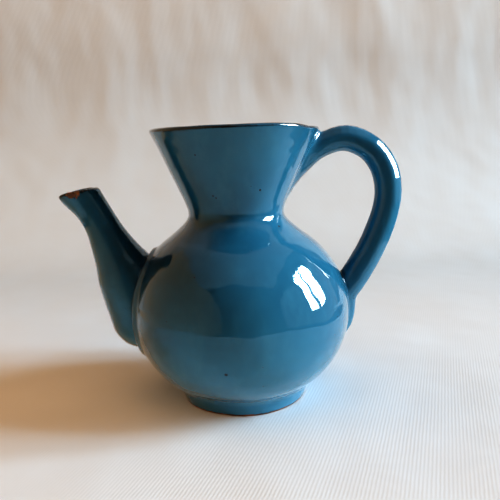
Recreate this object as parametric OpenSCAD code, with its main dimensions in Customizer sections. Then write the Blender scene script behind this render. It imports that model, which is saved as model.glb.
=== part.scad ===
// Thrown and glazed pottery jug: a round belly on a turned foot, a flared neck,
// a tapering spout and an ear handle.
// +Z is up, the spout points along -X and the handle along +X.
// The origin is the centre of the foot's standing face. Sizes are in millimetres.

/* [Overall] */
// Height of the rim above the standing face
jug_height = 140; // [136:1:146]
// Wall thickness of the belly and the neck
wall = 4; // [3.5:0.25:4.5]

/* [Belly] */
// Largest outer radius of the belly
belly_radius = 56.3; // [54:0.1:58]
// Height of the widest part
belly_middle = 46.5; // [45:0.5:48]
// Half of the round body's own height
belly_half_height = 50; // [49:0.5:51]

/* [Neck] */
// Outer radius at the narrowest part
throat_radius = 24.6; // [23:0.1:26]
// Height of the narrowest part, where the neck sits on the belly
throat_height = 97; // [96:0.5:98]
// Outward slope of the flared neck, radius over height
neck_slope = 0.476; // [0.44:0.002:0.5]
// Radius of the bead along the rim
rim_bead = 1.5; // [1.2:0.1:1.8]

/* [Foot] */
// Radius of the foot where it meets the belly
foot_radius = 34.4; // [33:0.1:35]
// Radius of the foot at its standing face
foot_base_radius = 32; // [31:0.1:33]
// Height of the foot
foot_height = 8.5; // [7.5:0.25:9]
// Inner radius of the foot ring
foot_inner_radius = 25; // [23:0.5:27]
// Depth of the recess inside the foot ring
recess_depth = 5; // [4:0.25:5.5]

/* [Spout] */
// Radius of the spout's swollen root
spout_root_radius = 18.2; // [17:0.1:19]
// Radius of the spout at its slimmest
spout_tip_radius = 8.6; // [8:0.1:9.5]
// Wall thickness of the spout
spout_wall = 2.8; // [2.4:0.1:3.2]
// Height of the middle of the spout's lip
spout_lip_height = 111.2; // [109:0.1:112]
// Slope of the spout's lip towards the jug, in degrees
spout_lip_slope = 13; // [10:1:18]
// Radius of the hole through the belly wall into the spout
spout_hole_radius = 7; // [5:0.5:8]

/* [Handle] */
// Radius of the round handle
handle_radius = 7; // [6.5:0.1:7.5]

/* [Luting clay] */
// Width of the smeared clay round each joint
lute_width = 3; // [2.5:0.25:4]

/* [Hidden] */

GLAZE = [0.13, 0.33, 0.47];
BARE_CLAY = [0.66, 0.36, 0.22];
$fn = 96;

// the throat's roundness: how soon the curve straightens above and below the narrowest part
throat_soft_above = 2.15;
throat_soft_below = 8;
// slope of the shoulder where it leaves the throat
shoulder_slope = 1.45;
// height at which the round body gives way to the curve that sweeps up to the throat
shoulder_height = 86;
shoulder_steps = 5;
neck_steps = 8;
bead_step = 15;
arc_step = 5;
// the round body's outline keeps this far from the foot and from the shoulder's first point
outline_gap = 1;
// height of the floor inside the belly, and the width of the bevel round its edge
floor_height = foot_height + 0.7 * wall;
floor_bevel = 3;
foot_chamfer = 1;

// the spout's centreline, from its rounded root inside the belly to just past the lip, as [x, z]
spout_start = [-45, 28];
spout_bend = [-55, 74];
spout_end = [-85, 117];
// share of the centreline over which the root swells, and where the taper begins and how long it lasts
root_share = 0.2;
taper_from = 0.17;
taper_span = 0.7;
taper_power = 1.5;
// the slight widening at the lip, and how suddenly it sets in
lip_flare = 1.2;
lip_flare_power = 12;
// the smallest squared share of the radius at the rounded end of the root
root_end = 0.02;
// share of the centreline at which the spout's channel begins
channel_from = 0.04;
spout_sides = 28;
spout_rings = 26;
ring_crowding = 1.2;
spout_lip_x = -80.6;
spout_hole_height = 52;

// the handle's centreline, from inside the neck wall over the top and down into the belly, as [x, z]
handle_route = [
    [15, 103], [33, 121.5], [44.5, 129.6], [57, 132.7], [69, 127.4], [76.3, 117],
    [78.4, 104.5], [76.3, 92], [70.3, 76], [62.5, 62.5], [54, 52], [45, 43]
];
handle_sides = 20;
handle_steps = 3;
// where the two joints begin and end along the handle's route
upper_joint_span = [0, 2];
lower_joint_span = [8, 11];

// the tail of smeared clay that runs down the belly under the handle, as [x, z], with its radii
tail_route = [[56, 58], [57.5, 52], [57, 45], [55.5, 38], [53, 32]];
tail_radii = [4.5, 4.4, 3.8, 2.8, 1.6];
tail_steps = 3;

// outer radius of the round body at a height
function body_radius(z) =
    belly_radius * sqrt(max(0, 1 - pow((z - belly_middle) / belly_half_height, 2)));

// outer radius of a curve that leaves the throat softly and then keeps a constant slope
function flare_radius(z, slope, soft) =
    throat_radius + sqrt(pow(slope * (z - throat_height), 2) + soft * soft) - soft;

function route_point(route, i) = route[min(max(i, 0), len(route) - 1)];

// an outline moved inwards along its own normals
function inset(points, depth) = [
    for (i = [0 : len(points) - 1])
        let (along = route_point(points, i + 1) - route_point(points, i - 1))
            points[i] + depth / norm(along) * [-along[1], along[0]]
];

function part_of(list, from, to) = [for (i = [from : to]) list[i]];

body_outline = [
    [body_radius(foot_height), foot_height],
    for (a = [-60 : arc_step : 90])
        let (z = belly_middle + belly_half_height * sin(a))
            if (z > foot_height + outline_gap && z < shoulder_height - outline_gap)
                [body_radius(z), z]
];
shoulder_outline = [
    for (i = [0 : shoulder_steps])
        let (z = shoulder_height + (throat_height - shoulder_height) * i / shoulder_steps)
            [flare_radius(z, shoulder_slope, throat_soft_below), z]
];
neck_outline = [
    for (i = [1 : neck_steps])
        let (z = throat_height + (jug_height - rim_bead - throat_height) * i / neck_steps)
            [flare_radius(z, neck_slope, throat_soft_above), z]
];
outline = concat(body_outline, shoulder_outline, neck_outline);
throat_index = len(body_outline) + len(shoulder_outline) - 1;
lining = inset(outline, wall);

function reversed(list) = [for (i = [len(list) - 1 : -1 : 0]) list[i]];

// a point on the curve through four points, used for smooth routes
function smooth_point(a, b, c, d, t) =
    0.5 * (2 * b + (c - a) * t + (2 * a - 5 * b + 4 * c - d) * t * t
        + (3 * b - a - 3 * c + d) * t * t * t);

function smooth_route(route, from, to, steps) = [
    for (i = [from : to - 1], s = [0 : steps - 1])
        smooth_point(
            route_point(route, i - 1), route[i], route[i + 1], route_point(route, i + 2), s / steps
        ),
    route[to]
];

// one ring of points round a centreline point in the XZ plane, square to the given direction
function ring(point, direction, radius, sides) =
    let (unit = direction / norm(direction), across = [unit[1], -unit[0]])
    [
        for (k = [0 : sides - 1])
            let (a = 360 * (k + 0.5) / sides, out = radius * cos(a) * across)
                [point[0] + out[0], radius * sin(a), point[1] + out[1]]
    ];

function direction_at(route, i) = route_point(route, i + 1) - route_point(route, i - 1);

// a solid tube along a centreline in the XZ plane, with its own radius at each point
module tube(route, radii, sides) {
    rings = len(route);
    points = [for (i = [0 : rings - 1]) each ring(route[i], direction_at(route, i), radii[i], sides)];
    sides_faces = [
        for (i = [0 : rings - 2], k = [0 : sides - 1])
            let (a = i * sides + k, b = i * sides + (k + 1) % sides)
                each [[a, a + sides, b], [b, a + sides, b + sides]]
    ];
    ends = [
        [for (k = [0 : sides - 1]) k],
        [for (k = [sides - 1 : -1 : 0]) (rings - 1) * sides + k]
    ];
    polyhedron(points, concat(sides_faces, ends), convexity = 4);
}

// the whole thrown form without its hollow, grown outwards by the given amount
module body_solid(grow) {
    grown = inset(outline, -grow);
    top = grown[len(grown) - 1];
    rotate_extrude() polygon(concat([[0, grown[0][1]]], grown, [[0, top[1]]]));
}

// a layer of the given thickness all over the thrown form
module body_layer(thickness) {
    difference() {
        body_solid(thickness);
        body_solid(0);
    }
}

function bezier(t) =
    spout_start * pow(1 - t, 2) + spout_bend * 2 * t * (1 - t) + spout_end * t * t;

function spout_taper(t) =
    let (u = min(max((t - taper_from) / taper_span, 0), 1))
        spout_tip_radius + (spout_root_radius - spout_tip_radius) * pow((1 + cos(180 * u)) / 2, taper_power)
        + lip_flare * pow(t, lip_flare_power);

function spout_radius(t) =
    spout_taper(t) * (t < root_share ? sqrt(max(root_end, 1 - pow(1 - t / root_share, 2))) : 1);

// shares of the centreline at which the spout's rings lie, closer together at the rounded root
function spout_shares(from) = [
    for (i = [0 : spout_rings]) from + (1 - from) * pow(i / spout_rings, ring_crowding)
];

module spout_form(grow, from) {
    shares = spout_shares(from);
    tube([for (t = shares) bezier(t)], [for (t = shares) spout_radius(t) + grow], spout_sides);
}

// everything above the sloping plane of the spout's lip
module above_spout_lip() {
    translate([spout_lip_x, 0, spout_lip_height])
        rotate([0, -spout_lip_slope, 0])
            translate([0, 0, jug_height / 2]) cube(jug_height, center = true);
}

module handle_form(grow) {
    route = smooth_route(handle_route, 0, len(handle_route) - 1, handle_steps);
    tube(route, [for (p = route) handle_radius + grow], handle_sides);
}

// the stretch of clay smeared round one end of the handle, before the bodies are cut away from it
module handle_end(span) {
    route = smooth_route(handle_route, span[0], span[1], handle_steps);
    tube(route, [for (p = route) handle_radius + lute_width], handle_sides);
}

module belly() {
    inside = [
        for (p = part_of(lining, 0, throat_index)) if (p[1] > floor_height + outline_gap) p
    ];
    color(GLAZE) difference() {
        rotate_extrude() polygon(concat(
            [[0, recess_depth], [foot_inner_radius, recess_depth], [foot_inner_radius, foot_height]],
            [[foot_radius, foot_height], [body_outline[0][0], foot_height]],
            part_of(outline, 1, throat_index),
            reversed(inside),
            [[inside[0][0] - floor_bevel, floor_height], [0, floor_height]]
        ));
        translate([-belly_radius - wall, 0, spout_hole_height])
            rotate([0, 90, 0]) cylinder(r = spout_hole_radius, h = 4 * wall);
    }
}

module neck() {
    last = len(outline) - 1;
    bead_centre = outline[last] - [rim_bead, 0];
    color(GLAZE) rotate_extrude() polygon(concat(
        part_of(outline, throat_index, last),
        [for (a = [bead_step : bead_step : 180]) bead_centre + rim_bead * [cos(a), sin(a)]],
        reversed(part_of(lining, throat_index, last - 2))
    ));
}

module foot_ring() {
    color(BARE_CLAY) rotate_extrude() polygon([
        [foot_inner_radius, foot_height],
        [foot_inner_radius, foot_chamfer],
        [foot_inner_radius + foot_chamfer, 0],
        [foot_base_radius - foot_chamfer, 0],
        [foot_base_radius, foot_chamfer],
        [foot_radius, foot_height]
    ]);
}

module spout() {
    color(GLAZE) difference() {
        spout_form(0, 0);
        spout_form(-spout_wall, channel_from);
        above_spout_lip();
        body_solid(0);
    }
}

module spout_joint() {
    color(GLAZE) difference() {
        intersection() {
            spout_form(lute_width, 0);
            body_layer(lute_width);
        }
        spout_form(0, 0);
    }
}

module handle() {
    color(GLAZE) difference() {
        handle_form(0);
        body_solid(0);
    }
}

module handle_upper_joint() {
    color(GLAZE) difference() {
        intersection() {
            handle_end(upper_joint_span);
            body_layer(lute_width);
        }
        handle_form(0);
    }
}

module handle_lower_joint() {
    tail = smooth_route(tail_route, 0, len(tail_route) - 1, tail_steps);
    color(GLAZE) difference() {
        union() {
            intersection() {
                handle_end(lower_joint_span);
                body_solid(lute_width);
            }
            tube(tail, smooth_route(tail_radii, 0, len(tail_radii) - 1, tail_steps), handle_sides);
        }
        handle_form(0);
        body_solid(0);
    }
}

belly();
neck();
foot_ring();
spout();
handle();
spout_joint();
handle_upper_joint();
handle_lower_joint();
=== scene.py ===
"""A thrown and glazed earthenware jug with a joined spout and a pulled handle.

The clay is modelled as one distance field, in millimetres, whose sizes come from the CAD nodes' boxes.
The field is then cut into the same pieces as the CAD model, each a closed mesh, and the pieces share
their vertices and normals along the seams, because on the real jug the clay was smoothed across them.
"""

import math

import bmesh
import bpy
import numpy as np
from mathutils import Matrix, Vector


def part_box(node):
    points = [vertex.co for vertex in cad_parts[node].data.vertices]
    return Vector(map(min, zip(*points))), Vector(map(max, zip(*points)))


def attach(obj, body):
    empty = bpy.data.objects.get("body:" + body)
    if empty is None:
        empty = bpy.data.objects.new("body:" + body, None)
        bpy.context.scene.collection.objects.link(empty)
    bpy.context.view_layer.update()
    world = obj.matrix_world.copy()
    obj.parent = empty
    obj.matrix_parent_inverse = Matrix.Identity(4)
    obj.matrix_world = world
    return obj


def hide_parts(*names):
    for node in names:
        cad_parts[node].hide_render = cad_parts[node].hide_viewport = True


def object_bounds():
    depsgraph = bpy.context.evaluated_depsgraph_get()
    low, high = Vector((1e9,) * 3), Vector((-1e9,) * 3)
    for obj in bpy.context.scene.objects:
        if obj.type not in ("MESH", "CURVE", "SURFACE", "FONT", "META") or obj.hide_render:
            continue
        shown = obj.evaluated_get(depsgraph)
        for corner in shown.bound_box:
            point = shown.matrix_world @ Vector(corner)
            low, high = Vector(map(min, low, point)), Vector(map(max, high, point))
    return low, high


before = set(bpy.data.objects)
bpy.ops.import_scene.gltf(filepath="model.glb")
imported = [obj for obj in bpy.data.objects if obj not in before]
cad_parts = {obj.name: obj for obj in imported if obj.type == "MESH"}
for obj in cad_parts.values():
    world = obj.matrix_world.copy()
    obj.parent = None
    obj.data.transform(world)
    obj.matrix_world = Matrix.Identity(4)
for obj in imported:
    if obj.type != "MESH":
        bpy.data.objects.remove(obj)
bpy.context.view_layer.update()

MM = 0.001
LOW, HIGH = 0, 1
X, Y, Z = 0, 1, 2


def cad(node, side, axis):
    """One face of a CAD node's box, in millimetres."""
    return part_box(node)[side][axis] / MM


# sizes that the frame gives
RIM_HEIGHT = cad("neck", HIGH, Z)
THROAT_HEIGHT = cad("neck", LOW, Z)
BELLY_RADIUS = cad("belly", HIGH, X)
FOOT_HEIGHT = cad("foot_ring", HIGH, Z)
FOOT_RADIUS = cad("foot_ring", HIGH, X)

# the thrown form, as the CAD model has it
BELLY_MIDDLE = 46.5
BELLY_HALF_HEIGHT = 50.0
SHOULDER_HEIGHT = 86.0
SHOULDER_SLOPE = 1.45
THROAT_RADIUS = 24.6
SOFT_BELOW = 8.0
SOFT_ABOVE = 2.15
WALL = 4.0
RIM_BEAD = 1.5
FOOT_INNER_RADIUS = 25.0
# the foot: wider than the CAD's, narrower at its bottom, with rounded edges, and smoothed into the belly
FOOT_SPREAD, FOOT_TAPER, FOOT_EDGE, FOOT_BLEND = 0.7, 2.5, 1.0, 1.8
# how far the belly is drawn in where it meets the foot, and how soon that fades
FOOT_TUCK, FOOT_TUCK_HEIGHT = 1.6, 4.0
RECESS = 5.0
FLOOR_HEIGHT = FOOT_HEIGHT + 0.7 * WALL
NECK_SLOPE = 0.476
# the rim sags towards the handle: how far, and from and to which X
RIM_SAG, RIM_SAG_START, RIM_SAG_END = 1.2, 21.0, 35.0
# the thrown form leans: how far its axis lies from the Z axis, and how that swings with height
LEAN_OFFSET, LEAN_SWING, LEAN_HEIGHT = 0.3, 0.6, 95.0

# centrelines in the XZ plane as rows of x, z and radius
SPOUT_ROUTE = [
    (-50.0, 45.0, 18.0), (-52.7, 54.0, 17.7), (-57.0, 64.5, 15.9), (-61.3, 74.0, 12.7), (-65.6, 83.6, 10.3),
    (-69.4, 92.7, 8.8), (-74.1, 101.7, 8.6), (-80.3, 110.4, 9.7), (-87.5, 119.5, 10.8),
]
SPOUT_WALL = 2.8
# the spout's lip: its middle, its slope there and how much it arches
SPOUT_LIP = (-80.3, 111.1)
SPOUT_LIP_SLOPE, SPOUT_LIP_ARCH = 0.19, 0.01
SPOUT_HOLE_HEIGHT = 52.0
SPOUT_HOLE_RADIUS = 7.0
HANDLE_ROUTE = [
    (15.0, 103.0, 6.6), (33.0, 121.9, 6.3), (44.5, 129.8, 6.0), (57.0, 132.7, 6.3), (69.0, 127.3, 6.8),
    (76.2, 117.0, 7.0), (78.2, 104.5, 7.0), (75.9, 92.0, 7.0), (69.5, 76.0, 7.1), (61.6, 62.5, 7.2),
    (53.4, 52.0, 7.2), (45.0, 43.0, 7.0),
]
HANDLE_RIDGES, HANDLE_RIDGE_HEIGHT = 7, 0.09
TAIL_ROUTE = [(54.4, 58.0, 4.1), (56.2, 51.0, 4.4), (56.5, 44.5, 4.4), (55.6, 38.0, 4.1), (53.5, 32.5, 3.4),
              (51.8, 28.0, 2.3), (49.8, 24.5, 1.1)]
# the roll of luting clay round the spout's root: height, distance from the spout and width
ROLL_HEIGHT, ROLL_OFFSET, ROLL_WIDTH = 1.5, 3.2, 1.9
# how far the joints are smeared
SPOUT_BLEND, UPPER_BLEND, LOWER_BLEND, TAIL_BLEND = 1.4, 3.8, 1.2, 2.5

# the spout's beak is blunt: where it ends, and how round it is
SPOUT_BEAK, BEAK_ROUNDING = -90.3, 3.5
# nicks in the spout's lip: x, y, z and radius of each bite. The first goes down to bright clay
NICKS = [
    (-80.8, -10.6, 110.9, 2.9), (-76.8, -9.4, 113.2, 1.9), (-73.5, -8.0, 113.6, 1.5),
    (-87.8, 7.4, 110.6, 2.2), (-79.5, 9.4, 113.0, 1.7),
]
# how round the edges are: of the lip, of the nicks, and where the spout's channel comes out
LIP_ROUNDING, NICK_ROUNDING, CHANNEL_ROUNDING = 1.2, 0.6, 1.0
# the clay left bare where the jug stood in the kiln
BARE_HEIGHT = 1.1
# the height that parts the handle's upper joint from its lower one
HANDLE_MIDDLE = 90.0

# the grid's spacing, how far it reaches past the CAD's box, and the distance given where none is worked out
VOXEL, MARGIN, FAR = 0.8, 4.0, 60.0


# ---------------------------------------------------------------- distance fields


def smooth_union(a, b, width):
    """What is inside a or b, with a fillet between them."""
    share = np.clip(0.5 + 0.5 * (b - a) / width, 0.0, 1.0)
    return b + (a - b) * share - width * share * (1.0 - share)


def smooth_cut(a, b, width):
    """What is inside both a and b, with a rounded edge."""
    return -smooth_union(-a, -b, width)


def smooth_route(rows, steps=4):
    """Points on a smooth curve through every row."""
    rows = np.array(rows)
    padded = np.vstack([2 * rows[0] - rows[1], rows, 2 * rows[-1] - rows[-2]])
    curve = []
    for a, b, c, d in zip(padded, padded[1:], padded[2:], padded[3:]):
        for t in np.arange(steps) / steps:
            curve.append(0.5 * (2 * b + (c - a) * t + (2 * a - 5 * b + 4 * c - d) * t**2
                                + (3 * b - a - 3 * c + d) * t**3))
    curve.append(rows[-1])
    return np.array(curve)


class Tube:
    """A round tube along a centreline in the XZ plane, with its own radius at each point."""

    def __init__(self, rows, grow=0.0, ridges=0, ridge_height=0.0):
        self.rows = smooth_route(rows)
        self.rows[:, 2] += grow
        self.ridges, self.ridge_height = ridges, ridge_height
        reach = self.rows[:, 2].max() + 10.0
        x, z = self.rows[:, 0], self.rows[:, 1]
        self.low = np.array([x.min() - reach, -reach, z.min() - reach])
        self.high = np.array([x.max() + reach, reach, z.max() + reach])

    def distance(self, p):
        result = np.full(len(p), FAR)
        near = np.all((p > self.low) & (p < self.high), axis=1)
        x, y, z = p[near].T
        best = np.full(len(x), FAR)
        for (ax, az, ar), (bx, bz, br) in zip(self.rows, self.rows[1:]):
            ux, uz = bx - ax, bz - az
            t = np.clip(((x - ax) * ux + (z - az) * uz) / (ux * ux + uz * uz), 0.0, 1.0)
            dx, dz = x - ax - ux * t, z - az - uz * t
            off = np.sqrt(dx * dx + y * y + dz * dz) - (ar + (br - ar) * t)
            if self.ridges:
                turn = np.arctan2(y, (dx * uz - dz * ux) / math.hypot(ux, uz))
                off -= self.ridge_height * np.cos(self.ridges * turn)
            best = np.minimum(best, off)
        result[near] = best
        return result


class Lathe:
    """An outline of r and z turned about the Z axis. Its distances are looked up in a table."""

    STEP = 0.4
    R_SIZE, Z_LOW, Z_SIZE = 100.0, -10.0, 165.0

    def __init__(self, outline):
        r = np.arange(0.0, self.R_SIZE, self.STEP)
        z = np.arange(self.Z_LOW, self.Z_LOW + self.Z_SIZE, self.STEP)
        rr, zz = (g.ravel() for g in np.meshgrid(r, z, indexing="ij"))
        nearest = np.full(len(rr), 1e9)
        inside = np.zeros(len(rr), bool)
        for (ar, az), (br, bz) in zip(outline, outline[1:] + outline[:1]):
            ur, uz = br - ar, bz - az
            if abs(ar) + abs(br) > 0:
                t = np.clip(((rr - ar) * ur + (zz - az) * uz) / (ur * ur + uz * uz + 1e-12), 0.0, 1.0)
                nearest = np.minimum(nearest, (rr - ar - ur * t) ** 2 + (zz - az - uz * t) ** 2)
            if az != bz:
                crosses = ((az > zz) != (bz > zz)) & (rr < ar + ur * (zz - az) / uz)
                inside ^= crosses
        signed = np.where(inside, -1.0, 1.0) * np.sqrt(nearest)
        self.table = signed.reshape(len(r), len(z))

    def distance(self, r, z):
        i = np.clip(r / self.STEP, 0, self.table.shape[0] - 1.001)
        j = np.clip((z - self.Z_LOW) / self.STEP, 0, self.table.shape[1] - 1.001)
        i0, j0 = i.astype(int), j.astype(int)
        u, v = i - i0, j - j0
        t = self.table
        return ((t[i0, j0] * (1 - v) + t[i0, j0 + 1] * v) * (1 - u)
                + (t[i0 + 1, j0] * (1 - v) + t[i0 + 1, j0 + 1] * v) * u)


def flare_radius(z, slope, soft):
    """A cone from the throat, rounded where it starts."""
    return THROAT_RADIUS + math.hypot(slope * (z - THROAT_HEIGHT), soft) - soft


def body_outline():
    """The thrown form from its base to just below the rim's bead."""
    belly = []
    start = math.degrees(math.asin((RECESS - BELLY_MIDDLE) / BELLY_HALF_HEIGHT))
    stop = math.degrees(math.asin((SHOULDER_HEIGHT - 2 - BELLY_MIDDLE) / BELLY_HALF_HEIGHT))
    for angle in np.radians(np.linspace(start, stop, 60)):
        z = BELLY_MIDDLE + BELLY_HALF_HEIGHT * math.sin(angle)
        drawn_in = FOOT_TUCK * math.exp(min(FOOT_HEIGHT - z, 0) / FOOT_TUCK_HEIGHT)
        belly.append((BELLY_RADIUS * math.cos(angle) - drawn_in, z))
    shoulder = [(flare_radius(z, SHOULDER_SLOPE, SOFT_BELOW), z)
                for z in np.linspace(SHOULDER_HEIGHT, THROAT_HEIGHT, 12)[:-1]]
    neck = [(flare_radius(z, NECK_SLOPE, SOFT_ABOVE), z)
            for z in np.linspace(THROAT_HEIGHT, RIM_HEIGHT - RIM_BEAD, 30)]
    return belly + shoulder + neck


def inset(outline, depth):
    """An outline moved inwards along its own normals."""
    points = np.array(outline)
    along = np.gradient(points, axis=0)
    normals = np.stack([-along[:, 1], along[:, 0]], axis=1) / np.linalg.norm(along, axis=1)[:, None]
    return [tuple(point) for point in points + depth * normals]


def bead(start, stop, centre):
    """Part of the rim's round bead."""
    angles = np.radians(np.linspace(start, stop, 9))
    return [(centre[0] + RIM_BEAD * math.cos(a), centre[1] + RIM_BEAD * math.sin(a)) for a in angles]


OUTLINE = body_outline()
BEAD_CENTRE = (OUTLINE[-1][0] - RIM_BEAD, OUTLINE[-1][1])
LINING = [(r, z) for r, z in inset(OUTLINE, WALL)[:-2] if z > FLOOR_HEIGHT + 1.0]
FOOT_TOP_RADIUS = FOOT_RADIUS + FOOT_SPREAD
FOOT_BASE_RADIUS = FOOT_TOP_RADIUS - FOOT_TAPER

OUTER = Lathe([(0, RECESS)] + OUTLINE + bead(0, 90, BEAD_CENTRE) + [(0, RIM_HEIGHT)])
FOOT = Lathe([
    (FOOT_INNER_RADIUS, FOOT_EDGE), (FOOT_INNER_RADIUS + FOOT_EDGE, 0), (FOOT_BASE_RADIUS - FOOT_EDGE, 0),
    (FOOT_BASE_RADIUS - 0.3, 0.3), (FOOT_BASE_RADIUS, FOOT_EDGE), (FOOT_TOP_RADIUS, FOOT_HEIGHT),
    (FOOT_INNER_RADIUS + WALL, FOOT_HEIGHT), (FOOT_INNER_RADIUS, RECESS + 1.0),
])
INNER = Lathe(
    [(0, RIM_HEIGHT + 20), (BEAD_CENTRE[0], RIM_HEIGHT + 20)] + bead(90, 180, BEAD_CENTRE)
    + LINING[::-1] + [(LINING[0][0] - 3.0, FLOOR_HEIGHT), (0, FLOOR_HEIGHT)]
)
SPOUT = Tube(SPOUT_ROUTE)
CHANNEL = Tube(SPOUT_ROUTE, -SPOUT_WALL)
HANDLE = Tube(HANDLE_ROUTE, 0.0, HANDLE_RIDGES, HANDLE_RIDGE_HEIGHT)
TAIL = Tube(TAIL_ROUTE)


def body_distances(p):
    """Distances to the outside and to the lining of the thrown form."""
    lean = LEAN_OFFSET + LEAN_SWING * np.cos(math.pi * p[:, Z] / LEAN_HEIGHT)
    sag = np.clip((p[:, X] - RIM_SAG_START) / (RIM_SAG_END - RIM_SAG_START), 0, 1) ** 3
    sag *= np.clip((p[:, Z] - THROAT_HEIGHT) / (RIM_HEIGHT - THROAT_HEIGHT), 0, 1)
    r, z = np.hypot(p[:, X] - lean, p[:, Y]), p[:, Z] + RIM_SAG * sag
    return smooth_union(OUTER.distance(r, z), FOOT.distance(r, z), FOOT_BLEND), INNER.distance(r, z)


def clay_fields(p):
    """Distances to the body, to the whole form before it is hollowed, and to the clay, and what is tail."""
    body, lining = body_distances(p)
    spout, handle, tail = SPOUT.distance(p), HANDLE.distance(p), TAIL.distance(p)
    rolled = body - ROLL_HEIGHT * np.exp(-((spout - ROLL_OFFSET) / ROLL_WIDTH) ** 2)
    form = smooth_union(rolled, spout, SPOUT_BLEND)
    form = smooth_union(form, handle, np.where(p[:, Z] > HANDLE_MIDDLE, UPPER_BLEND, LOWER_BLEND))
    form = smooth_union(form, tail, TAIL_BLEND)
    along = p[:, X] - SPOUT_LIP[0]
    lip = p[:, Z] - SPOUT_LIP[1] - SPOUT_LIP_SLOPE * along + SPOUT_LIP_ARCH * along**2
    lip = np.where(p[:, X] < -BELLY_RADIUS, lip, -FAR)
    channel = np.maximum(CHANNEL.distance(p), -body)
    hole = np.hypot(p[:, Y], p[:, Z] - SPOUT_HOLE_HEIGHT) - SPOUT_HOLE_RADIUS
    hole = np.maximum(hole, np.abs(p[:, X] + BELLY_RADIUS - WALL) - 2 * WALL)
    clay = smooth_cut(form, lip, LIP_ROUNDING)
    clay = smooth_cut(clay, SPOUT_BEAK - p[:, X], BEAK_ROUNDING)
    for x, y, z, radius in NICKS:
        bite = radius - np.sqrt((p[:, X] - x) ** 2 + (p[:, Y] - y) ** 2 + (p[:, Z] - z) ** 2)
        clay = smooth_cut(clay, bite, NICK_ROUNDING)
    clay = np.maximum(clay, -lining)
    clay = smooth_cut(clay, -np.minimum(channel, hole), CHANNEL_ROUNDING)
    return body, form, clay, tail < handle


class Ripples:
    """Smooth unevenness: waves of about one length in many directions, in millimetres."""

    def __init__(self, seed, length, height, count=18):
        random = np.random.default_rng(seed)
        directions = random.normal(size=(count, 3))
        directions /= np.linalg.norm(directions, axis=1)[:, None]
        self.waves = directions * (2 * math.pi / (length * random.uniform(0.7, 1.4, count)))[:, None]
        self.phases = random.uniform(0, 2 * math.pi, count)
        self.height = height * math.sqrt(2 / count)

    def height_at(self, p):
        return self.height * np.sin(p @ self.waves.T + self.phases).sum(axis=1)


# the marks of handwork: broad lumps, small dimples and the spiral left by throwing
LUMPS = Ripples(3, 34.0, 0.10)
DIMPLES = Ripples(5, 13.0, 0.03)
THROWING_PITCH, THROWING_HEIGHT = 6.5, 0.02


def clay_distance(p):
    """The clay's distance with the unevenness of handwork."""
    angle = np.arctan2(p[:, Y], p[:, X])
    rings = THROWING_HEIGHT * np.sin(2 * math.pi * p[:, Z] / THROWING_PITCH + angle)
    return clay_fields(p)[2] - LUMPS.height_at(p) - DIMPLES.height_at(p) - rings


# ---------------------------------------------------------------- pieces

PIECES = ["belly", "neck", "foot_ring", "spout", "handle",
          "spout_joint", "handle_upper_joint", "handle_lower_joint", "foot_edge"]
LABEL = {name: i + 1 for i, name in enumerate(PIECES)}
# a joint is what stands at least this much above the body, reaching this far out of it and into it
JOINT_RISE, JOINT_LAYER, JOINT_BITE = 0.3, 3.0, 1.2


def piece_labels(p, fields):
    """Which piece each point of clay belongs to, and 0 for air."""
    body, form, clay, in_tail = fields
    label = np.full(len(p), LABEL["belly"], np.uint8)
    r = np.hypot(p[:, X], p[:, Y])
    label[p[:, Z] > THROAT_HEIGHT] = LABEL["neck"]
    in_foot = r > FOOT_INNER_RADIUS - 0.5
    label[(p[:, Z] < FOOT_HEIGHT) & in_foot] = LABEL["foot_ring"]
    label[(p[:, Z] < BARE_HEIGHT) & in_foot] = LABEL["foot_edge"]
    joined = (body - form > JOINT_RISE) & (body > -JOINT_BITE)
    in_layer = (body < JOINT_LAYER) | in_tail
    left, high = p[:, X] < 0, p[:, Z] > HANDLE_MIDDLE
    label[joined & left] = LABEL["spout"]
    label[joined & left & (body < JOINT_LAYER)] = LABEL["spout_joint"]
    label[joined & ~left] = LABEL["handle"]
    label[joined & ~left & high & in_layer] = LABEL["handle_upper_joint"]
    label[joined & ~left & ~high & in_layer] = LABEL["handle_lower_joint"]
    label[clay > 0] = 0
    return label


LAYERS_AT_ONCE = 16


def grid_axes():
    low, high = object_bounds()
    return [np.arange(low[a] / MM - MARGIN, high[a] / MM + MARGIN, VOXEL) for a in range(3)]


def sample_grid():
    """Labels and distances at the corners of the grid, a few X layers at a time."""
    xs, ys, zs = grid_axes()
    yy, zz = np.meshgrid(ys, zs, indexing="ij")
    labels = np.zeros((len(xs), len(ys), len(zs)), np.uint8)
    distances = np.zeros(labels.shape, np.float32)
    for start in range(0, len(xs), LAYERS_AT_ONCE):
        part, chosen = xs[start:start + LAYERS_AT_ONCE], slice(start, start + LAYERS_AT_ONCE)
        p = np.stack([np.repeat(part, yy.size), np.tile(yy.ravel(), len(part)),
                      np.tile(zz.ravel(), len(part))], axis=1)
        fields = clay_fields(p)
        labels[chosen] = piece_labels(p, fields).reshape(len(part), *yy.shape)
        distances[chosen] = fields[2].reshape(len(part), *yy.shape)
    return np.array([xs[0], ys[0], zs[0]]), labels, distances


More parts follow.
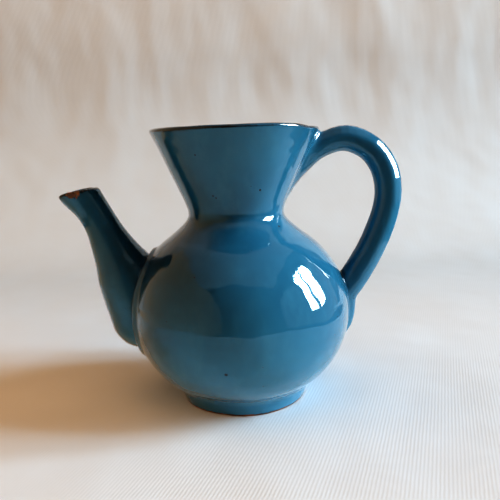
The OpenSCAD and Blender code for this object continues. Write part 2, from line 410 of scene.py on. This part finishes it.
def surface_net(origin, labels, distances):
    """One vertex for each grid cell that holds a boundary, and a quad across each edge that crosses one.

    Returns the vertices, the quads, the labels on the low and the high side of each quad, turned so that
    a quad faces from its low side to its high side, and which vertices lie on the clay's surface."""
    shape = np.array(labels.shape)
    strides = np.array([shape[1] * shape[2], shape[2], 1])
    quads, lows, highs, crossings = [], [], [], []
    for axis in range(3):
        before = tuple(slice(0, -1) if a == axis else slice(None) for a in range(3))
        after = tuple(slice(1, None) if a == axis else slice(None) for a in range(3))
        low_label, high_label = labels[before], labels[after]
        corner = np.argwhere(low_label != high_label)
        at = tuple(corner.T)
        low, high = low_label[at], high_label[at]
        d_low, d_high = distances[before][at], distances[after][at]
        surface = (low == 0) | (high == 0)
        share = np.where(surface, np.clip(d_low / np.where(d_low == d_high, 1, d_low - d_high), 0, 1), 0.5)
        crossing = corner.astype(float)
        crossing[:, axis] += share
        u, v = (axis + 1) % 3, (axis + 2) % 3
        cell = corner @ strides
        quads.append(np.stack([cell, cell - strides[u], cell - strides[u] - strides[v],
                               cell - strides[v]], axis=1))
        lows.append(low)
        highs.append(high)
        crossings.append(crossing)
    quads, lows, highs = np.concatenate(quads), np.concatenate(lows), np.concatenate(highs)
    crossings = np.concatenate(crossings)
    cells, corners = np.unique(quads, return_inverse=True)
    quads = corners.reshape(quads.shape)
    surface = (lows == 0) | (highs == 0)
    on_surface = np.zeros(len(cells), bool)
    on_surface[quads[surface]] = True
    vertices = np.zeros((len(cells), 3))
    for chosen, keep in ((slice(None), ~on_surface), (surface, on_surface)):
        index = quads[chosen].ravel()
        count = np.maximum(np.bincount(index, minlength=len(cells)), 1)
        for axis in range(3):
            total = np.bincount(index, np.repeat(crossings[chosen][:, axis], 4), len(cells))
            vertices[keep, axis] = (total / count)[keep]
    return origin + vertices * VOXEL, quads, lows, highs, on_surface


def gradient(p, step=0.25):
    """The distance and its slope, from four samples at a tetrahedron's corners."""
    corners = np.array([(1, 1, 1), (1, -1, -1), (-1, 1, -1), (-1, -1, 1)])
    values = [clay_distance(p + step * corner) for corner in corners]
    slope = sum(value[:, None] * corner for value, corner in zip(values, corners)) / (4 * step)
    return sum(values) / 4, slope


def relax(vertices, quads, index_mask):
    """Moves each chosen vertex to the middle of its neighbours along the quads' sides."""
    total = np.zeros_like(vertices)
    count = np.zeros(len(vertices))
    for a, b in ((0, 1), (1, 2), (2, 3), (3, 0)):
        for one, other in ((a, b), (b, a)):
            index = quads[:, one]
            for axis in range(3):
                total[:, axis] += np.bincount(index, vertices[quads[:, other], axis], len(vertices))
            count += np.bincount(index, minlength=len(vertices))
    moved = vertices.copy()
    chosen = index_mask & (count > 0)
    moved[chosen] = total[chosen] / count[chosen][:, None]
    return moved


# how far round a point the bend is measured
BEND_STEP = 1.0


def settle(vertices, quads, lows, highs, on_surface, rounds=3):
    """Evens out the mesh and puts every surface vertex on the clay's surface.

    Returns the normals too, and how strongly the surface bends there, above 0 on ridges."""
    surface = (lows == 0) | (highs == 0)
    for _ in range(rounds):
        inner = relax(vertices, quads, ~on_surface)
        vertices = relax(vertices, quads[surface], on_surface)
        vertices[~on_surface] = inner[~on_surface]
        for _ in range(2):
            distance, slope = gradient(vertices[on_surface])
            vertices[on_surface] -= distance[:, None] * slope / np.sum(slope**2, axis=1)[:, None]
    normals = np.zeros_like(vertices)
    slope = gradient(vertices[on_surface])[1]
    normals[on_surface] = slope / np.linalg.norm(slope, axis=1)[:, None]
    bend = np.zeros(len(vertices))
    bend[on_surface] = gradient(vertices[on_surface], BEND_STEP)[0] * 2.0 / BEND_STEP**2
    return vertices, normals, bend


def build_piece(name, vertices, normals, bend, quads, lows, highs, materials):
    label = LABEL[name]
    forward, backward = quads[lows == label], quads[highs == label][:, ::-1]
    faces = np.concatenate([forward, backward])
    outside = np.concatenate([highs[lows == label], lows[highs == label]]) == 0
    used, corners = np.unique(faces, return_inverse=True)
    mesh = bpy.data.meshes.new(name)
    mesh.from_pydata((vertices[used] * MM).tolist(), [], corners.reshape(faces.shape).tolist())
    mesh.shade_smooth()
    loop_normals = np.where(np.repeat(outside, 4)[:, None], normals[faces.ravel()], 0.0)
    mesh.normals_split_custom_set(loop_normals.tolist())
    mesh.attributes.new("bend", "FLOAT", "POINT").data.foreach_set("value", bend[used])
    piece = bpy.data.objects.new(name, mesh)
    bpy.context.scene.collection.objects.link(piece)
    for material in materials:
        mesh.materials.append(material)
    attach(piece, "root")
    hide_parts("foot_ring" if name == "foot_edge" else name)
    return piece


# ---------------------------------------------------------------- materials


class Graph:
    """A material's node tree, with short calls for the nodes used here."""

    def __init__(self, name):
        self.material = bpy.data.materials.new(name)
        self.material.use_nodes = True
        self.tree = self.material.node_tree
        self.shader = self.tree.nodes["Principled BSDF"]
        self.place = self.node("ShaderNodeTexCoord").outputs["Object"]

    def node(self, kind, inputs=(), **settings):
        node = self.tree.nodes.new(kind)
        for name, value in settings.items():
            setattr(node, name, value)
        for socket, value in dict(inputs).items():
            self.set(node.inputs[socket], value)
        return node

    def set(self, socket, value):
        if isinstance(value, bpy.types.NodeSocket):
            self.tree.links.new(value, socket)
        else:
            socket.default_value = value

    def math(self, operation, *values):
        node = self.node("ShaderNodeMath", operation=operation)
        for socket, value in zip(node.inputs, values):
            self.set(socket, value)
        return node.outputs[0]

    def ramp(self, value, low, high, to_low=0.0, to_high=1.0):
        """A smooth step from low to high."""
        inputs = {"Value": value, "From Min": low, "From Max": high, "To Min": to_low, "To Max": to_high}
        return self.node("ShaderNodeMapRange", inputs, interpolation_type="SMOOTHSTEP").outputs["Result"]

    def noise(self, size, detail=3.0, stretch=1.0):
        """Noise from 0 to 1 whose lumps are about size millimetres, longer along Z by stretch."""
        scaled = self.node("ShaderNodeMapping", {"Vector": self.place, "Scale": (1, 1, 1 / stretch)})
        inputs = {"Vector": scaled.outputs[0], "Scale": 1 / (size * MM), "Detail": detail}
        return self.node("ShaderNodeTexNoise", inputs).outputs["Fac"]

    def mix(self, share, a, b):
        node = self.node("ShaderNodeMix", data_type="RGBA")
        for socket, value in zip((node.inputs[0], node.inputs[6], node.inputs[7]), (share, a, b)):
            self.set(socket, value)
        return node.outputs[2]

    def near(self, point, radius, ragged):
        """1 inside a ragged blob round a point in millimetres."""
        inputs = {0: self.place, 1: [c * MM for c in point]}
        away = self.node("ShaderNodeVectorMath", inputs, operation="DISTANCE").outputs["Value"]
        away = self.math("ADD", self.math("DIVIDE", away, radius * MM), ragged)
        return self.ramp(away, 1.15, 0.9)

    def bump(self, height, distance, normal=None):
        inputs = {"Height": height, "Distance": distance * MM, "Strength": 1.0}
        if normal:
            inputs["Normal"] = normal
        return self.node("ShaderNodeBump", inputs).outputs["Normal"]


BLUE = (0.058, 0.26, 0.375, 1)
DEEP_BLUE = (0.03, 0.15, 0.24, 1)
PALE_BLUE = (0.085, 0.32, 0.43, 1)
THIN_GLAZE = (0.035, 0.022, 0.016, 1)
PIT = (0.012, 0.014, 0.018, 1)
BRIGHT_CLAY = (0.95, 0.30, 0.07, 1)
TERRACOTTA = (0.36, 0.115, 0.04, 1)
BURNT_CLAY = (0.10, 0.035, 0.018, 1)
# dark specks in the glaze: x, y, z and radius
SPECKS = [
    (11.2, -26.7, 109.9, 0.55), (-7.4, -52.7, 30.3, 0.75), (-17.8, -32.3, 127.0, 0.4),
    (-10.8, -25.8, 107.8, 0.4), (-9.4, -25.9, 106.8, 0.35), (33.7, -39.0, 66.5, 0.8),
    (9.0, -48.5, 22.6, 0.35), (20.2, -19.0, 91.6, 0.5),
]


def lip_edge(graph, ragged):
    """1 along the edge of the spout's lip, where the glaze has run thin."""
    place = graph.node("ShaderNodeSeparateXYZ", {0: graph.place}).outputs
    rise = graph.math("SUBTRACT", place["Z"], graph.math("MULTIPLY", place["X"], SPOUT_LIP_SLOPE))
    rise = graph.math("ADD", rise, graph.math("MULTIPLY", ragged, 1.2 * MM))
    level = SPOUT_LIP[1] - SPOUT_LIP_SLOPE * SPOUT_LIP[0]
    rise = graph.ramp(rise, (level - 2.2) * MM, (level - 1.0) * MM)
    on_spout = graph.ramp(place["X"], -BELLY_RADIUS * MM, -(BELLY_RADIUS + 3) * MM)
    return graph.math("MULTIPLY", rise, on_spout)


def glaze_material():
    """A glossy blue glaze, thin on sharp edges and pooled in hollows, with pits, specks and chips."""
    graph = Graph("glaze")
    bend = graph.node("ShaderNodeAttribute", attribute_name="bend").outputs["Fac"]
    cloudy, runny, grain = graph.noise(38.0), graph.noise(7.0, 4.0, 2.5), graph.noise(0.9, 2.0)
    colour = graph.mix(graph.ramp(cloudy, 0.3, 0.7), DEEP_BLUE, BLUE)
    colour = graph.mix(0.55, BLUE, colour)
    colour = graph.mix(graph.ramp(runny, 0.45, 0.75, 0.0, 0.35), colour, PALE_BLUE)
    pooled = graph.ramp(bend, -0.04, -0.5, 0.0, 0.85)
    colour = graph.mix(pooled, colour, DEEP_BLUE)
    thin = graph.ramp(graph.math("ADD", bend, graph.math("MULTIPLY", runny, 0.25)), 0.6, 1.0)
    colour = graph.mix(thin, colour, THIN_GLAZE)
    pits = graph.node("ShaderNodeTexVoronoi", {"Vector": graph.place, "Scale": 1 / (11.0 * MM)})
    pit = graph.ramp(pits.outputs["Distance"], 0.030, 0.018)
    for speck in SPECKS:
        pit = graph.math("MAXIMUM", pit, graph.near(speck[:3], speck[3], 0.0))
    colour = graph.mix(pit, colour, PIT)
    ragged = graph.math("MULTIPLY", graph.math("SUBTRACT", graph.noise(2.2), 0.5), 1.6)
    chips = [graph.near(nick[:3], nick[3] + 0.8, ragged) for nick in NICKS[:3]]
    chip, worn = chips[0], graph.math("MAXIMUM", chips[1], chips[2])
    worn_clay = graph.mix(graph.ramp(graph.noise(1.2), 0.45, 0.6), BURNT_CLAY, TERRACOTTA)
    chip_clay = graph.mix(graph.ramp(graph.noise(1.6), 0.5, 0.7), BRIGHT_CLAY, BURNT_CLAY)
    colour = graph.mix(lip_edge(graph, ragged), colour, THIN_GLAZE)
    colour = graph.mix(worn, colour, worn_clay)
    colour = graph.mix(chip, colour, chip_clay)
    graph.set(graph.shader.inputs["Base Color"], colour)
    gloss = graph.ramp(graph.noise(14.0), 0.3, 0.7, 0.03, 0.07)
    dull = graph.math("MAXIMUM", graph.math("MULTIPLY", chip, 0.8), graph.math("MULTIPLY", pit, 0.5))
    graph.set(graph.shader.inputs["Roughness"], graph.math("MAXIMUM", gloss, dull))
    peel = graph.bump(graph.noise(2.4, 1.0), 0.010)
    peel = graph.bump(graph.math("MULTIPLY", grain, chip), 0.25, peel)
    graph.set(graph.shader.inputs["Normal"], graph.bump(pit, -0.3, peel))
    graph.shader.inputs["IOR"].default_value = 1.55
    graph.shader.inputs["Specular Tint"].default_value = (0.25, 0.7, 1.0, 1)
    graph.shader.inputs["Coat Weight"].default_value = 0.75
    graph.shader.inputs["Coat Roughness"].default_value = 0.015
    return graph.material


def clay_material():
    """Bare red earthenware: grainy, with darker toasted patches."""
    graph = Graph("bare_clay")
    colour = graph.mix(graph.ramp(graph.noise(6.0), 0.35, 0.65), TERRACOTTA, BURNT_CLAY)
    colour = graph.mix(graph.ramp(graph.noise(0.7), 0.55, 0.75, 0.0, 0.4), colour, (0.5, 0.22, 0.1, 1))
    graph.set(graph.shader.inputs["Base Color"], colour)
    graph.set(graph.shader.inputs["Roughness"], graph.ramp(graph.noise(3.0), 0.3, 0.7, 0.7, 0.95))
    graph.set(graph.shader.inputs["Normal"], graph.bump(graph.noise(0.6), 0.12))
    return graph.material


MATERIALS = {"glaze": glaze_material, "bare_clay": clay_material}


def slot_of(name):
    return "bare_clay" if name == "foot_edge" else "glaze"


# ---------------------------------------------------------------- stage, light and camera


# the cloth's colours; the far one is painted shade, greyer where less light reaches behind the jug
CLOTH_NEAR = (0.66, 0.71, 0.765, 1)
CLOTH_SHADED_FAR = (0.555, 0.615, 0.67, 1)
CLOTH_HIGH = (0.70, 0.745, 0.785, 1)
CLOTH_SHADE = (0.45, 0.42, 0.40, 1)


def cloth_material():
    """Pale cotton with painted shade: white near the jug and greyer behind it, with a faint weave and soft
    creases.
    """
    graph = Graph("pale_cloth")
    place = graph.node("ShaderNodeSeparateXYZ", {0: graph.place}).outputs
    # painted shade: the cloth turns greyer on the floor behind the jug, then paler again up the backdrop
    colour = graph.mix(graph.ramp(place["Y"], 0.05, 0.32), CLOTH_NEAR, CLOTH_SHADED_FAR)
    colour = graph.mix(graph.ramp(place["Z"], 0.05, 0.4), colour, CLOTH_HIGH)
    shade = graph.ramp(graph.noise(70.0, 2.0), 0.3, 0.7, 0.0, 0.06)
    colour = graph.mix(shade, colour, CLOTH_SHADE)
    graph.set(graph.shader.inputs["Base Color"], colour)
    graph.shader.inputs["Roughness"].default_value = 0.9
    graph.shader.inputs["Specular IOR Level"].default_value = 0.1
    less_low_down = graph.ramp(place["Z"], 0.0, 0.25, 0.4, 1.0)
    creases = graph.math("MULTIPLY", graph.noise(95.0, 2.0, 2.0), less_low_down)
    turned = graph.node("ShaderNodeMapping", {"Vector": graph.place, "Rotation": (0, 0, 0.35)}).outputs[0]
    ribs = graph.node("ShaderNodeTexWave", {"Vector": turned, "Scale": 200.0, "Distortion": 1.0})
    relief = graph.bump(ribs.outputs["Fac"], 0.04, graph.bump(creases, 8.0))
    graph.set(graph.shader.inputs["Normal"], relief)
    return graph.material


def wall_material():
    """A plain pale wall, evenly lit."""
    graph = Graph("pale_wall")
    graph.set(graph.shader.inputs["Base Color"], (0, 0, 0, 1))
    graph.set(graph.shader.inputs["Emission Color"], (0.56, 0.53, 0.50, 1))
    graph.shader.inputs["Emission Strength"].default_value = 1.0
    return graph.material


# the sheets alone, for the lights that only fill their shadows
SHEETS = bpy.data.collections.new("sheets")
CLOTH_FRONT, CLOTH_BACK, CLOTH_LEFT, CLOTH_RIGHT = -0.25, 0.18, -0.26, 0.245
BACKDROP_DISTANCE, BACKDROP_BEND, BACKDROP_TOP = 0.55, 0.25, 1.0
BACKDROP_LEFT, BACKDROP_RIGHT = -0.9, 0.6
ROOM_HALF = 1.5
FLOOR_DROP = 0.0005


def stage_sheet(name, rows, material):
    """A sheet across the X axis, from rows of y, z and its left and right edges."""
    vertices = [(x, y, z) for y, z, left, right in rows for x in (left, right)]
    faces = [(i, i + 1, i + 3, i + 2) for i in range(0, len(vertices) - 2, 2)]
    mesh = bpy.data.meshes.new(name)
    mesh.from_pydata(vertices, [], faces)
    mesh.shade_smooth()
    mesh.materials.append(material)
    sheet = bpy.data.objects.new(name, mesh)
    bpy.context.scene.collection.objects.link(sheet)
    SHEETS.objects.link(sheet)
    return sheet


def make_room():
    """A pale dome that only the camera sees, so that every view has a plain background."""
    form = bmesh.new()
    bmesh.ops.create_uvsphere(form, u_segments=48, v_segments=24, radius=ROOM_HALF)
    mesh = bpy.data.meshes.new("room")
    form.to_mesh(mesh)
    form.free()
    mesh.shade_smooth()
    mesh.materials.append(wall_material())
    room = bpy.data.objects.new("room", mesh)
    bpy.context.scene.collection.objects.link(room)
    room.visible_diffuse = room.visible_glossy = room.visible_transmission = room.visible_shadow = False


def make_stage():
    """A cloth under the jug and a backdrop that curves up behind it, on a wide floor of the same cloth.

    The jug's gloss shows the cloth and the backdrop alone, in a dark room, as the real one's does, and
    only the cloth throws light back onto the jug."""
    cloth = cloth_material()
    start = BACKDROP_DISTANCE - BACKDROP_BEND
    curve = [(start + BACKDROP_BEND * math.sin(a), BACKDROP_BEND * (1 - math.cos(a)))
             for a in np.linspace(0, math.pi / 2, 16)]
    curve = [(CLOTH_BACK, 0.0)] + curve + [(BACKDROP_DISTANCE, BACKDROP_TOP)]
    near = [(y, 0.0, CLOTH_LEFT, CLOTH_RIGHT) for y in (CLOTH_FRONT, CLOTH_BACK)]
    behind = [(y, z, BACKDROP_LEFT, BACKDROP_RIGHT) for y, z in curve]
    around = [(y, -FLOOR_DROP, -ROOM_HALF, ROOM_HALF) for y in (-ROOM_HALF, ROOM_HALF)]
    stage_sheet("cloth", near, cloth)
    stage_sheet("backdrop", behind, cloth).visible_diffuse = False
    floor = stage_sheet("floor", around, cloth)
    floor.visible_glossy = floor.visible_diffuse = False
    make_room()


def make_light(name, location, target, size, radiance, colour, matte=True, gloss=True, only_on=None):
    """A rectangular light, by how bright its face is. It lights what is matte, shows in gloss, or both."""
    data = bpy.data.lights.new(name, "AREA")
    data.shape = "RECTANGLE"
    data.size, data.size_y = size
    data.energy = radiance * math.pi * size[0] * size[1]
    data.color = colour
    light = bpy.data.objects.new(name, data)
    light.location = location
    light.rotation_mode = "QUATERNION"
    light.rotation_quaternion = (Vector(target) - Vector(location)).to_track_quat("-Z", "Y")
    light.visible_diffuse, light.visible_glossy, light.visible_camera = matte, gloss, False
    light.light_linking.receiver_collection = only_on
    bpy.context.scene.collection.objects.link(light)


WINDOW_BLUE = (0.56, 0.83, 1.0)
WALL_WARM = (1.0, 0.67, 0.37)
ROOM_WARM = (1.0, 0.60, 0.32)
CEILING_CREAM = (1.0, 0.9, 0.8)
WALL_CREAM = (1.0, 0.95, 0.85)
WHITE = (1.0, 1.0, 1.0)
DIM_ROOM = (0.11, 0.075, 0.055, 1)
# the left wall as the gloss shows it, darker towards the front: from and to which Y, and how bright
LEFT_WALL_X = -1.6
LEFT_WALL_SHINE = [(-2.2, 1.2, 0.40), (-3.2, -2.2, 0.31), (-4.6, -3.2, 0.22)]


def make_lights():
    """A window of two panes at the right with a chink beside it, and a dim warm room elsewhere.

    The window, the ceiling and the left wall have one light for what is matte and another for what shows in
    gloss; the right wall only shows in gloss and the room's front only lights what is matte."""
    jug = (0, 0, 0.05)
    for name, y, width in (("near", -0.40, 0.45), ("far", 0.15, 0.38)):
        place, size = Vector((2.5, y, 1.1)), (width, 1.6)
        just_behind = place * 1.05
        make_light("window_" + name, just_behind, jug, size, 26.0, WINDOW_BLUE, gloss=False)
        make_light("glare_" + name, place, jug, size, 40.0, WHITE, matte=False)
    make_light("chink", (2.14, 1.29, 1.15), jug, (0.03, 1.1), 12.0, WHITE, matte=False)
    make_light("ceiling", (0, 0, 2.0), jug, (3.0, 3.0), 0.8, ROOM_WARM, gloss=False, only_on=SHEETS)
    make_light("ceiling_shine", (0, 0, 2.0), jug, (3.2, 3.2), 0.30, CEILING_CREAM, matte=False)
    left_wall = (LEFT_WALL_X, 0, 0.45)
    make_light("left_wall", left_wall, jug, (3.0, 1.4), 1.0, ROOM_WARM, gloss=False, only_on=SHEETS)
    for number, (start, stop, radiance) in enumerate(LEFT_WALL_SHINE):
        middle, size = (start + stop) / 2, (stop - start, 2.6)
        make_light(f"left_wall_shine_{number}", (LEFT_WALL_X, middle, 0.7), (0, middle, 0.7), size,
                   radiance, WALL_WARM, matte=False)
    right_wall, facing = (2.9, -0.6, 0.9), (0, -0.6, 0.9)
    make_light("right_wall_shine", right_wall, facing, (4.5, 2.6), 0.25, WALL_CREAM, matte=False)
    make_light("room_front", (0.7, -1.6, 0.8), jug, (3.0, 1.5), 1.4, ROOM_WARM, gloss=False, only_on=SHEETS)
    world = bpy.data.worlds.new("room")
    world.use_nodes = True
    world.node_tree.nodes["Background"].inputs["Color"].default_value = DIM_ROOM
    bpy.context.scene.world = world
    world.cycles_visibility.diffuse = False
    bpy.context.scene.view_settings.view_transform = "Standard"
    bpy.context.scene.view_settings.look = "High Contrast"


CAMERA_PLACE = (0.0, -0.295, 0.130)
CAMERA_YAW, CAMERA_PITCH, CAMERA_ROLL = 1.2, 10.2, -1.9
CAMERA_LENS, CAMERA_SENSOR = 41.4, 36.0


def make_camera():
    """The photograph's viewpoint: from the front and a little above."""
    data = bpy.data.cameras.new("camera")
    data.sensor_width = CAMERA_SENSOR
    data.lens = CAMERA_LENS
    yaw, pitch, roll = (math.radians(angle) for angle in (CAMERA_YAW, CAMERA_PITCH, CAMERA_ROLL))
    forward = Vector((math.sin(yaw) * math.cos(pitch), math.cos(yaw) * math.cos(pitch), -math.sin(pitch)))
    level = forward.cross(Vector((0, 0, 1))).normalized()
    right = level * math.cos(roll) + level.cross(forward) * math.sin(roll)
    turn = Matrix((right, right.cross(forward), -forward)).transposed()
    camera = bpy.data.objects.new("camera", data)
    camera.matrix_world = Matrix.Translation(CAMERA_PLACE) @ turn.to_4x4()
    bpy.context.scene.collection.objects.link(camera)
    bpy.context.scene.camera = camera


def make_jug():
    vertices, quads, lows, highs, on_surface = surface_net(*sample_grid())
    vertices, normals, bend = settle(vertices, quads, lows, highs, on_surface)
    materials = {slot: make() for slot, make in MATERIALS.items()}
    for name in PIECES:
        piece = build_piece(name, vertices, normals, bend, quads, lows, highs, [materials[slot_of(name)]])


make_jug()
make_stage()
make_lights()
make_camera()
